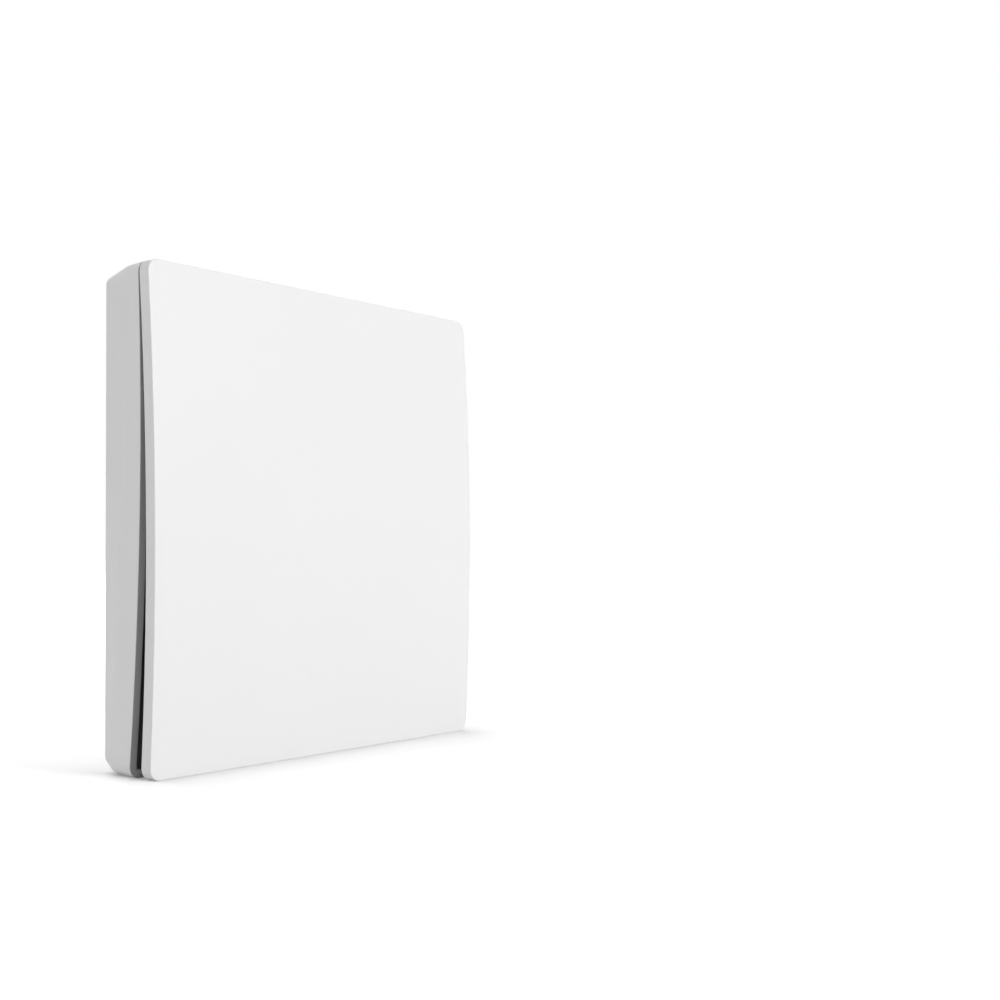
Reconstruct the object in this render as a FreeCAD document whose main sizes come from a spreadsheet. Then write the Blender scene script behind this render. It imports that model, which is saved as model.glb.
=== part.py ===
import FreeCAD, Part
import math
import os

import Sketcher

# A wireless wall switch with one large rocker, powered by the press of the hand.
# Frame: +Z up, +X to the right for someone facing the switch, +Y into the wall.
# The origin is the centre of the back face, on the wall. "Depth" is the distance
# out from the wall, so a point at depth d has y = -d. Lengths are in millimetres
# and angles in degrees.

Vector = FreeCAD.Vector
doc = FreeCAD.newDocument("WallSwitch")

SIZES = {
    # Square outline shared by the rocker plate and the collar of the housing
    "width": 86,
    "height": 86,
    "corner_radius": 2.2,
    # Rocker plate: crowned front, leaning out at the bottom while at rest
    "panel_depth": 15,
    "panel_crown": 1.52,
    "panel_lean": 0.4,
    "panel_thickness": 2.26,
    "panel_front_round": 0.15,
    "panel_back_round": 0.12,
    # Front rim of the collar: same crown, leaning back at the bottom
    "rim_depth": 11.19,
    "rim_crown": 1.48,
    "rim_lean": 0.96,
    "rim_wall": 1.5,
    "rim_round": 0.15,
    # Crease where the collar, with a hair of draft, meets the tapered back of the housing
    "crease_depth": 6.3,
    "crease_crown": 1.55,
    "crease_lean": 1.41,
    "crease_inset": 0.03,
    "crease_corner_radius": 3.3,
    "back_side_inset": 2.28,
    "back_end_inset": 1.34,
    "back_corner_radius": 1.65,
    # Floor of the front recess and the raised generator compartment
    "floor_front": 7,
    "floor_thickness": 1,
    "recess_corner": 1,
    "island_left": -25,
    "island_right": 11,
    "island_low": -14,
    "island_high": 22,
    "island_front": 10.6,
    "island_wall": 1.2,
    "island_roof": 1,
    "island_corner": 1.6,
    # Back opening: wall plate, inner cover and the cavity behind the floor
    "opening_inset": 4.4,
    "back_opening_corner": 1.5,
    "plate_clearance": 0.2,
    "plate_thickness": 1.4,
    "cover_back": 2.4,
    "cover_front": 3.4,
    "cover_clearance": 0.3,
    "cavity_inset": 7.4,
    "gasket_inset": 5.3,
    "gasket_width": 1,
    "gasket_depth": 0.6,
    # Slotted screw holes of the wall plate
    "screw_inset": 13,
    "slot_width": 4.2,
    "slot_length": 7,
    "slot_chamfer": 0.9,
    # Tabs that hold the wall plate in the housing
    "tab_height": 20,
    "tab_length": 8,
    "tab_proud": 0.5,
    "tab_back": 0.6,
    "tab_thickness": 0.6,
    "tab_clearance": 0.1,
    "pry_width": 8,
    "pry_depth": 1.2,
    # Screws of the inner cover
    "boss_inset": 11.5,
    "boss_drop": 13,
    "boss_rise": 17,
    "boss_radius": 2.5,
    "cover_screw_radius": 0.9,
    "cover_screw_hole": 1.15,
    "cover_screw_head": 1.95,
    "cover_screw_head_height": 0.8,
    "cover_screw_tip": 5.3,
    "cover_screw_slot": 0.45,
    "boss_hole_depth": 5.5,
    # Hinge at the top of the rocker
    "hinge_drop": 6.6,
    "hinge_depth": 9.2,
    "hinge_pin_radius": 1,
    "hinge_clearance": 0.05,
    "lug_inner_inset": 23,
    "lug_outer_inset": 13,
    "lug_thickness": 1.6,
    "lug_half_height": 1.6,
    "lug_front": 11,
    "hook_gap": 0.3,
    "hook_width": 4,
    "hook_radius": 2,
    "hook_back": 1.3,
    "hook_mouth": 1.7,
    "press_angle": 1.6,
    # Skirt, ribs, claws and push rib on the back of the rocker plate
    "skirt_inset": 3.4,
    "skirt_wall": 1.2,
    "skirt_depth": 10.4,
    "rib_depth": 11,
    "rib_wall": 1,
    "rib_inset": 14,
    "rib_drop": 16,
    "rib_middle_rise": 21,
    "rib_low_rise": 13,
    "claw_inset": 12,
    "claw_thickness": 1.6,
    "claw_rise": 7,
    "claw_width": 4,
    "claw_depth": 7.6,
    "claw_nose": 0.8,
    "claw_nose_height": 1,
    "claw_gap": 0.2,
    "post_gap": 0.3,
    "post_thickness": 1.6,
    "push_width": 5,
    "push_thickness": 1.8,
    "push_gap": 0.3,
    # Soft stops under the lower end of the rocker
    "stop_x": 18,
    "stop_rise": 4.6,
    "stop_radius": 2.2,
    "stop_gap": 0.3,
    # Return springs on the hinge pins
    "spring_wire": 0.45,
    "spring_radius": 1.4,
    "spring_pitch": 0.6,
    "spring_turns": 3.5,
    "spring_gap": 0.775,
    "spring_seat_drop": 6.4,
    "spring_seat_height": 2,
    "spring_front_leg": 7,
    "spring_back_leg": 6,
    # Generator: flat iron core, coil and rocking magnet armature
    "axis_depth": 6.2,
    "axis_height": 7.75,
    "armature_x": 3,
    "rock_ratio": 3,
    "core_thickness": 1.6,
    "core_leg": 3.5,
    "core_leg_offset": 6,
    "core_left": -22,
    "core_right": 4,
    "magnet_width": 7.6,
    "magnet_height": 5,
    "magnet_thickness": 2.6,
    "pole_length": 16,
    "pole_thickness": 0.8,
    "carrier_wall": 0.8,
    "carrier_height": 6.4,
    "carrier_bridge": 0.6,
    "trunnion_radius": 0.8,
    "trunnion_length": 1.8,
    "trunnion_clearance": 0.05,
    "lever_width": 6,
    "lever_thickness": 0.4,
    "lever_top": 3.2,
    "lever_reach": 15.15,
    "lever_end": 16.4,
    "lever_window_clearance": 1.2,
    "frame_thickness": 0.8,
    "frame_clearance": 0.25,
    "bearing_thickness": 1.2,
    "bearing_gap": 0.75,
    "bearing_half_height": 1.5,
    "bearing_front": 7.8,
    "bobbin_left": -17.5,
    "bobbin_right": -4.5,
    "flange_thickness": 0.8,
    "flange_half_height": 4.4,
    "flange_half_depth": 2.8,
    "hub_wall": 0.45,
    "core_clearance": 0.05,
    "winding_half_height": 4,
    "winding_half_depth": 2.5,
    "winding_round": 1.1,
    "lead_radius": 0.2,
    "lead_on_board": 1.6,
    # Circuit board below the generator
    "board_side_gap": 15,
    "board_rise": 8,
    "board_drop": 2,
    "board_thickness": 0.8,
    "board_pin_inset": 3,
    "board_pin_rise": 3.5,
    "board_pin_radius": 0.8,
    "board_pin_clearance": 0.05,
    "board_pin_proud": 0.6,
    "radio_place": 0.29,
    "crystal_place": 0.5,
    "bridge_place": -0.8,
    "store_place": -0.57,
    "store_pitch": 5,
    "radio_width": 4,
    "radio_thickness": 0.85,
    "crystal_width": 3.2,
    "crystal_height": 2.5,
    "crystal_thickness": 0.7,
    "bridge_width": 4.7,
    "bridge_height": 3.9,
    "bridge_thickness": 1.4,
    "store_width": 3.5,
    "store_height": 2.8,
    "store_thickness": 1.6,
    "regulator_width": 2.9,
    "regulator_height": 1.6,
    "regulator_thickness": 1.1,
    "antenna_radius": 0.3,
    "antenna_inset": 25,
    "antenna_width": 6,
    "antenna_drop": 17,
    "antenna_on_board": 3,
    "antenna_end_gap": 4,
}

PLACES = {
    "half_width": "Sizes.width / 2",
    "half_height": "Sizes.height / 2",
    "panel_radius": "(half_height ^ 2 + Sizes.panel_crown ^ 2) / (2 * Sizes.panel_crown)",
    "floor_back": "Sizes.floor_front - Sizes.floor_thickness",
    "floor_middle": "Sizes.floor_front - Sizes.floor_thickness / 2",
    "plate_inset": "Sizes.opening_inset + Sizes.plate_clearance",
    "cover_inset": "Sizes.opening_inset + Sizes.cover_clearance",
    "gasket_inner_inset": "Sizes.gasket_inset + Sizes.gasket_width",
    "skirt_inner_inset": "Sizes.skirt_inset + Sizes.skirt_wall",
    "rib_end_inset": "Sizes.skirt_inset + Sizes.skirt_wall / 2",
    "screw_x": "half_width - Sizes.screw_inset",
    "boss_x": "half_width - Sizes.boss_inset",
    "boss_high": "half_height - Sizes.boss_drop",
    "boss_low": "Sizes.boss_rise - half_height",
    "hinge_height": "half_height - Sizes.hinge_drop",
    "lug_inner_x": "half_width - Sizes.lug_inner_inset",
    "lug_outer_x": "half_width - Sizes.lug_outer_inset",
    "hook_inner_x": "lug_inner_x + Sizes.lug_thickness + Sizes.hook_gap",
    "hook_outer_x": "hook_inner_x + Sizes.hook_width",
    "rib_x": "half_width - Sizes.rib_inset",
    "rib_high": "half_height - Sizes.rib_drop",
    "rib_middle": "Sizes.rib_middle_rise - half_height",
    "rib_low": "Sizes.rib_low_rise - half_height",
    "claw_x": "half_width - Sizes.claw_inset",
    "claw_low": "Sizes.claw_rise - half_height",
    "claw_high": "claw_low + Sizes.claw_width",
    "claw_inner": "claw_x - Sizes.claw_thickness / 2",
    "claw_outer": "claw_x + Sizes.claw_thickness / 2",
    "claw_tip": "claw_outer + Sizes.claw_nose",
    "post_inner": "claw_tip + Sizes.post_gap",
    "post_nose": "Sizes.claw_depth + Sizes.claw_nose_height + Sizes.claw_gap",
    "stop_height": "Sizes.stop_rise - half_height",
    "press_slope": "tan(Sizes.press_angle * 1 deg)",
    "rock_half": "Sizes.press_angle * Sizes.rock_ratio / 2",
    "pole_back": "Sizes.magnet_thickness / 2",
    "bridge_back": "pole_back + Sizes.pole_thickness",
    "lever_back": "bridge_back + Sizes.carrier_bridge",
    "lever_front": "lever_back + Sizes.lever_thickness",
    "push_depth": "Sizes.axis_depth + lever_front * cos(rock_half * 1 deg)"
                  " + Sizes.lever_reach * sin(rock_half * 1 deg) + Sizes.push_gap",
    "push_height": "Sizes.axis_height + lever_front * sin(rock_half * 1 deg)"
                   " - Sizes.lever_reach * cos(rock_half * 1 deg)",
    "stop_front": "Sizes.skirt_depth - (hinge_height + half_height - Sizes.skirt_inset)"
                  " * press_slope - Sizes.stop_gap",
    "board_front": "Sizes.cover_front + Sizes.board_thickness",
    "board_half_width": "half_width - Sizes.board_side_gap",
    "board_low": "Sizes.board_rise - half_height",
    "board_high": "Sizes.island_low - Sizes.board_drop",
    "board_middle": "(board_low + board_high) / 2",
    "board_pin_x": "board_half_width - Sizes.board_pin_inset",
    "board_pin_height": "board_low + Sizes.board_pin_rise",
    "frame_front": "Sizes.cover_front + Sizes.frame_thickness",
    "frame_inset": "Sizes.island_wall + Sizes.frame_clearance",
    "leg_height": "Sizes.axis_height - Sizes.core_leg_offset",
    "leg_near": "Sizes.core_leg_offset - Sizes.core_leg / 2",
    "leg_far": "Sizes.core_leg_offset + Sizes.core_leg / 2",
    "carrier_half_width": "Sizes.magnet_width / 2 + Sizes.carrier_wall",
    "spring_run": "Sizes.spring_pitch * Sizes.spring_turns",
    "spring_inner_x": "hook_outer_x + Sizes.spring_gap + Sizes.spring_wire / 2",
    "spring_outer_x": "spring_inner_x + spring_run",
    "spring_front": "Sizes.hinge_depth + Sizes.spring_radius + Sizes.spring_wire / 2",
    "spring_seat": "hinge_height - Sizes.spring_seat_drop",
    "antenna_x": "half_width - Sizes.antenna_inset",
    "antenna_high": "half_height - Sizes.antenna_drop",
}


def fill_sheet(name, rows):
    """Add a sheet with one named value per row."""
    sheet = doc.addObject("Spreadsheet::Sheet", name)
    for row, (alias, value) in enumerate(rows.items(), start=1):
        sheet.set("A%d" % row, alias)
        sheet.set("B%d" % row, str(value))
        sheet.setAlias("B%d" % row, alias)
    return sheet


sizes = fill_sheet("Sizes", SIZES)
doc.recompute()
places = fill_sheet("Places", {name: "=" + text for name, text in PLACES.items()})
doc.recompute()


def number(text):
    """Value of an expression over the two sheets."""
    return float(sizes.evalExpression(text))


def new_body(label):
    """Start a sub-part whose label names its file."""
    body = doc.addObject("PartDesign::Body", label)
    body.Label = label
    return body


def plane_sketch(body, name, role, offset="0"):
    """Attach a sketch to one of the body's own origin planes, offset along its normal."""
    plane = [feature for feature in body.Origin.OriginFeatures if feature.Role == role][0]
    sketch = body.newObject("Sketcher::SketchObject", name)
    sketch.AttachmentSupport = [(plane, "")]
    sketch.MapMode = "FlatFace"
    sketch.setExpression("AttachmentOffset.Base.z", offset)
    return sketch


def bind_distance(sketch, kind, geometry, end, text):
    """Fix one coordinate of a point of the sketch to an expression."""
    row = sketch.addConstraint(Sketcher.Constraint(kind, -1, 1, geometry, end, number(text)))
    sketch.setExpression("Constraints[%d]" % row, text)


def add_outline(sketch, corners, arcs=()):
    """Draw a closed outline. arcs maps the number of a side to (radius, bulge sign)."""
    arcs = dict(arcs)
    points = [Vector(number(across), number(up), 0) for across, up in corners]
    count = len(points)
    sides = []
    for side in range(count):
        start, finish = points[side], points[(side + 1) % count]
        if side in arcs:
            radius_text, bulge = arcs[side]
            radius = number(radius_text)
            chord = finish - start
            sagitta = radius - math.sqrt(radius ** 2 - (chord.Length / 2) ** 2)
            outward = Vector(chord.y, -chord.x, 0).normalize() * sagitta * bulge
            middle = (start + finish) * 0.5 + outward
            curve = Part.Arc(start, middle, finish)
        else:
            curve = Part.LineSegment(start, finish)
        sides.append(sketch.addGeometry(curve, False))

    def end_at(side, point):
        """Number of the end of a side that lies at a point."""
        first = (sketch.getPoint(sides[side], 1) - point).Length
        second = (sketch.getPoint(sides[side], 2) - point).Length
        return 1 if first < second else 2

    for side in range(count):
        before = (side - 1) % count
        sketch.addConstraint(Sketcher.Constraint(
            "Coincident", sides[before], end_at(before, points[side]),
            sides[side], end_at(side, points[side])))
    for side, (across, up) in enumerate(corners):
        end = end_at(side, points[side])
        bind_distance(sketch, "DistanceX", sides[side], end, across)
        bind_distance(sketch, "DistanceY", sides[side], end, up)
    for side, (radius_text, bulge) in arcs.items():
        row = sketch.addConstraint(
            Sketcher.Constraint("Radius", sides[side], number(radius_text)))
        sketch.setExpression("Constraints[%d]" % row, radius_text)


def add_circle(sketch, across, up, radius):
    """Draw a circle with its centre and radius bound."""
    centre = Vector(number(across), number(up), 0)
    circle = sketch.addGeometry(Part.Circle(centre, Vector(0, 0, 1), number(radius)), False)
    bind_distance(sketch, "DistanceX", circle, 3, across)
    bind_distance(sketch, "DistanceY", circle, 3, up)
    row = sketch.addConstraint(Sketcher.Constraint("Radius", circle, number(radius)))
    sketch.setExpression("Constraints[%d]" % row, radius)


def rectangle(left, right, low, high):
    """Corners of an upright rectangle."""
    return [(left, low), (right, low), (right, high), (left, high)]


def pane(inset):
    """Corners of an outline that stands in from the switch's own by an even margin."""
    across, up = "(Places.half_width - %s)" % inset, "(Places.half_height - %s)" % inset
    return rectangle("-" + across, across, "-" + up, up)


def on_side(sign, near, far, low, high):
    """Rectangle from near to far on the right, or mirrored on the left for sign '-'."""
    across = ["%s(%s)" % (sign, near), "%s(%s)" % (sign, far)]
    if sign:
        across.reverse()
    return rectangle(across[0], across[1], low, high)


SIDES = ("", "-")


def draw(sketch, outlines, circles):
    """Fill a sketch with outlines and circles."""
    for outline in outlines:
        add_outline(sketch, outline)
    for circle in circles:
        add_circle(sketch, *circle)


def add_block(body, name, back, front, outlines=(), circles=()):
    """Add material from depth back out to depth front."""
    sketch = plane_sketch(body, name + "Sketch", "XZ_Plane", back)
    draw(sketch, outlines, circles)
    pad = body.newObject("PartDesign::Pad", name)
    pad.Profile = sketch
    pad.setExpression("Length", "(%s) - (%s)" % (front, back))
    return pad


def cut_block(body, name, back, front, outlines=(), circles=()):
    """Remove material from depth front in to depth back."""
    sketch = plane_sketch(body, name + "Sketch", "XZ_Plane", front)
    draw(sketch, outlines, circles)
    pocket = body.newObject("PartDesign::Pocket", name)
    pocket.Profile = sketch
    pocket.setExpression("Length", "(%s) - (%s)" % (front, back))
    return pocket


def side_feature(body, kind, name, length, outlines=(), circles=(), centre="0", arcs=()):
    """Pad or pocket a profile seen from the side, half its length each way from centre."""
    sketch = plane_sketch(body, name + "Sketch", "YZ_Plane", centre)
    for outline in outlines:
        add_outline(sketch, outline, arcs)
    draw(sketch, (), circles)
    feature = body.newObject("PartDesign::" + kind, name)
    feature.Profile = sketch
    feature.SideType = "Symmetric"
    feature.setExpression("Length", length)
    return feature


def upright_feature(body, name, sign, profile):
    """Pad upwards, over the width of a claw, a profile of places across and depths."""
    sketch = plane_sketch(body, name + "Sketch", "XY_Plane", "Places.claw_low")
    add_outline(sketch, [("%s(%s)" % (sign, x), "-(%s)" % depth) for x, depth in profile])
    pad = body.newObject("PartDesign::Pad", name)
    pad.Profile = sketch
    pad.setExpression("Length", "Sizes.claw_width")
    return pad


def treat_edges(body, kind, name, wanted):
    """Fillet or chamfer the edges of the body's tip that pass a test."""
    doc.recompute()
    base = body.Tip
    edges = ["Edge%d" % place for place, edge in enumerate(base.Shape.Edges, start=1)
             if wanted(edge)]
    feature = body.newObject("PartDesign::" + kind, name)
    feature.Base = (base, edges)
    return feature


def round_edges(body, name, radius, wanted):
    """Round the edges that pass a test."""
    treat_edges(body, "Fillet", name, wanted).setExpression("Radius", radius)


def bevel_edges(body, name, size, wanted):
    """Bevel the edges that pass a test."""
    treat_edges(body, "Chamfer", name, wanted).setExpression("Size", size)


def runs_into_wall(edge):
    """True for a straight edge square to the wall."""
    bounds = edge.BoundBox
    return bounds.YLength > 0.2 and bounds.XLength < 0.01 and bounds.ZLength < 0.01


def at_corner(edge, inset):
    """True for an edge square to the wall at a corner of an inset outline."""
    centre = edge.CenterOfMass
    across = number("Places.half_width") - number(inset)
    up = number("Places.half_height") - number(inset)
    return (runs_into_wall(edge) and abs(abs(centre.x) - across) < 0.01
            and abs(abs(centre.z) - up) < 0.01)


def near_outline(edge):
    """True for an edge that follows the outline of the whole switch."""
    centre = edge.CenterOfMass
    corner = number("Sizes.corner_radius")
    return (abs(centre.x) > number("Places.half_width") - corner
            or abs(centre.z) > number("Places.half_height") - corner)


def crowned_depth(surface, up):
    """Depth of a crowned surface at a height, as an expression."""
    lean = {"panel": "-Sizes.panel_lean", "rim": "Sizes.rim_lean",
            "crease": "Sizes.crease_lean"}[surface]
    share = "((%s) / Places.half_height)" % up
    return "(Sizes.%s_depth + (%s) * %s - Sizes.%s_crown * %s ^ 2)" % (
        surface, lean, share, surface, share)


def rounded_wire(half_x, half_z, radius, depth):
    """Rectangle with round corners, parallel to the wall."""
    quarters = ((1, 1), (-1, 1), (-1, -1), (1, -1))
    arcs = []
    for turn, (side_x, side_z) in enumerate(quarters):
        centre = Vector(side_x * (half_x - radius), -depth, side_z * (half_z - radius))
        angles = [math.radians(90 * turn + step) for step in (0, 45, 90)]
        arcs.append(Part.Arc(*[centre + Vector(math.cos(a), 0, math.sin(a)) * radius
                               for a in angles]).toShape())
    edges = []
    for turn in range(4):
        this, following = arcs[turn], arcs[(turn + 1) % 4]
        edges.append(this)
        edges.append(Part.makeLine(this.Vertexes[-1].Point, following.Vertexes[0].Point))
    return Part.Wire(Part.__sortEdges__(edges))


def crowned_cap(surface, inset, radius):
    """Face of a crowned surface, cut to a round-cornered outline that stands in by inset."""
    half_x, half_z = number("Places.half_width"), number("Places.half_height")
    curve = [Vector(-half_x, -number(crowned_depth(surface, up)), number(up))
             for up in ("-Places.half_height", "0", "Places.half_height")]
    low, high = Vector(-half_x, 0, -half_z), Vector(-half_x, 0, half_z)
    sides = [Part.Arc(*curve).toShape(), Part.makeLine(curve[2], high),
             Part.makeLine(high, low), Part.makeLine(low, curve[0])]
    slab = Part.Face(Part.Wire(sides)).extrude(Vector(2 * half_x, 0, 0))
    outline = rounded_wire(half_x - inset, half_z - inset, radius, 0)
    column = Part.Face(outline).extrude(Vector(0, -number("Sizes.panel_depth"), 0))
    return min(slab.common(column).Faces, key=lambda face: face.CenterOfMass.y)


def housing_form():
    """Outer form of the housing: a collar between two crowned surfaces, and behind
    the crease a back that tapers to a smaller square on the wall."""
    rim = crowned_cap("rim", 0, number("Sizes.corner_radius"))
    crease = crowned_cap("crease", number("Sizes.crease_inset"),
                         number("Sizes.crease_corner_radius"))
    back = rounded_wire(number("Places.half_width - Sizes.back_side_inset"),
                        number("Places.half_height - Sizes.back_end_inset"),
                        number("Sizes.back_corner_radius"), 0)
    faces = [rim, Part.Face(back)]
    for lower, upper in ((back, crease.OuterWire), (crease.OuterWire, rim.OuterWire)):
        faces += Part.makeLoft([lower, upper], False, True).Faces
    shell = Part.Shell(faces)
    shell.sewShape()
    return Part.Solid(Part.Shell(shell.Faces))


def screw_places():
    """Centres of the four screws of the inner cover."""
    return [(x, z) for x in ("-Places.boss_x", "Places.boss_x")
            for z in ("Places.boss_low", "Places.boss_high")]


def housing():
    """Moulded housing: collar, recess for the rocker, generator compartment,
    hinge lugs, catch posts and the opening for the cover and wall plate."""
    form = doc.addObject("Part::Feature", "HousingForm")
    form.Shape = housing_form()
    body = new_body("housing")
    body.BaseFeature = form
    beyond = "Sizes.panel_depth"
    cut_block(body, "Recess", "Sizes.floor_front", beyond, [pane("Sizes.rim_wall")])
    round_edges(body, "RecessCorners", "Sizes.recess_corner",
                lambda edge: at_corner(edge, "Sizes.rim_wall"))
    rim_back = -number("Sizes.floor_front") - 1
    round_edges(body, "RimRound", "Sizes.rim_round",
                lambda edge: edge.BoundBox.YMax < rim_back and near_outline(edge))
    add_block(body, "Island", "Places.floor_back", "Sizes.island_front", [rectangle(
        "Sizes.island_left", "Sizes.island_right", "Sizes.island_low", "Sizes.island_high")])
    island_edges = (number("Sizes.island_left"), number("Sizes.island_right"))
    round_edges(body, "IslandCorners", "Sizes.island_corner", lambda edge:
                runs_into_wall(edge)
                and min(abs(edge.CenterOfMass.x - x) for x in island_edges) < 0.01)
    cut_block(body, "BackOpening", "-1", "Sizes.cover_front", [pane("Sizes.opening_inset")])
    round_edges(body, "BackOpeningCorners", "Sizes.back_opening_corner",
                lambda edge: at_corner(edge, "Sizes.opening_inset"))
    cut_block(body, "Cavity", "0", "Places.floor_back", [pane("Sizes.cavity_inset")])
    cut_block(body, "IslandHollow", "Sizes.cover_front",
              "Sizes.island_front - Sizes.island_roof",
              [rectangle("Sizes.island_left + Sizes.island_wall",
                         "Sizes.island_right - Sizes.island_wall",
                         "Sizes.island_low + Sizes.island_wall",
                         "Sizes.island_high - Sizes.island_wall")])
    cut_block(body, "LeverWindow", "Places.floor_back", beyond, [rectangle(
        "Sizes.armature_x - Sizes.lever_width / 2 - Sizes.lever_window_clearance",
        "Sizes.armature_x + Sizes.lever_width / 2 + Sizes.lever_window_clearance",
        "Sizes.island_low + 2 * Sizes.island_wall",
        "Sizes.axis_height - Sizes.lever_top")])
    cut_block(body, "GasketGroove", "Sizes.cover_front - 1",
              "Sizes.cover_front + Sizes.gasket_depth",
              [pane("Sizes.gasket_inset"), pane("Places.gasket_inner_inset")])
    add_block(body, "ScrewBosses", "Sizes.cover_front", "Places.floor_middle",
              circles=[(x, z, "Sizes.boss_radius") for x, z in screw_places()])
    cut_block(body, "ScrewHoles", "Sizes.cover_front - 1", "Sizes.boss_hole_depth",
              circles=[(x, z, "Sizes.cover_screw_radius") for x, z in screw_places()])
    add_block(body, "HingeLugs", "Places.floor_middle", "Sizes.lug_front", [
        on_side(sign, start, start + " + Sizes.lug_thickness",
                "Places.hinge_height - Sizes.lug_half_height",
                "Places.hinge_height + Sizes.lug_half_height")
        for start in ("Places.lug_inner_x", "Places.lug_outer_x") for sign in SIDES])
    side_feature(body, "Pocket", "LugBores",
                 "2 * (Places.lug_outer_x + Sizes.lug_thickness + 0.5)",
                 circles=[("-Sizes.hinge_depth", "Places.hinge_height",
                           "Sizes.hinge_pin_radius")])
    post = [
        ("Places.post_inner", "Places.floor_middle"),
        ("Places.post_inner", "Places.post_nose"),
        ("Places.post_inner - Sizes.claw_nose", "Places.post_nose"),
        ("Places.post_inner", "Places.post_nose + Sizes.claw_nose_height"),
        ("Places.post_inner + Sizes.post_thickness",
         "Places.post_nose + Sizes.claw_nose_height"),
        ("Places.post_inner + Sizes.post_thickness", "Places.floor_middle"),
    ]
    for sign in SIDES:
        upright_feature(body, "CatchPost", sign, post)
    cut_block(body, "ClawWindows", "Places.floor_back - 0.5", "Sizes.floor_front + 0.05", [
        on_side(sign, "Places.claw_inner - Sizes.post_gap - 0.2", "Places.post_inner",
                "Places.claw_low - 0.4", "Places.claw_high + 0.4") for sign in SIDES])
    cut_block(body, "TabNotches", "Sizes.tab_back - Sizes.tab_clearance",
              "Sizes.tab_back + Sizes.tab_thickness + Sizes.tab_clearance", [
                  on_side(sign, "Places.half_width - Sizes.opening_inset - 0.5",
                          "Places.half_width - Places.plate_inset"
                          " + Sizes.tab_proud + Sizes.tab_clearance",
                          level + " - Sizes.tab_length / 2 - Sizes.tab_clearance",
                          level + " + Sizes.tab_length / 2 + Sizes.tab_clearance")
                  for sign in SIDES for level in ("Sizes.tab_height", "-Sizes.tab_height")])
    cut_block(body, "PryNotch", "-1", "Sizes.pry_depth", [rectangle(
        "-Sizes.pry_width / 2", "Sizes.pry_width / 2",
        "-Places.half_height - 1", "-Places.half_height + Sizes.opening_inset + 0.5")])
    return body


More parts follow.
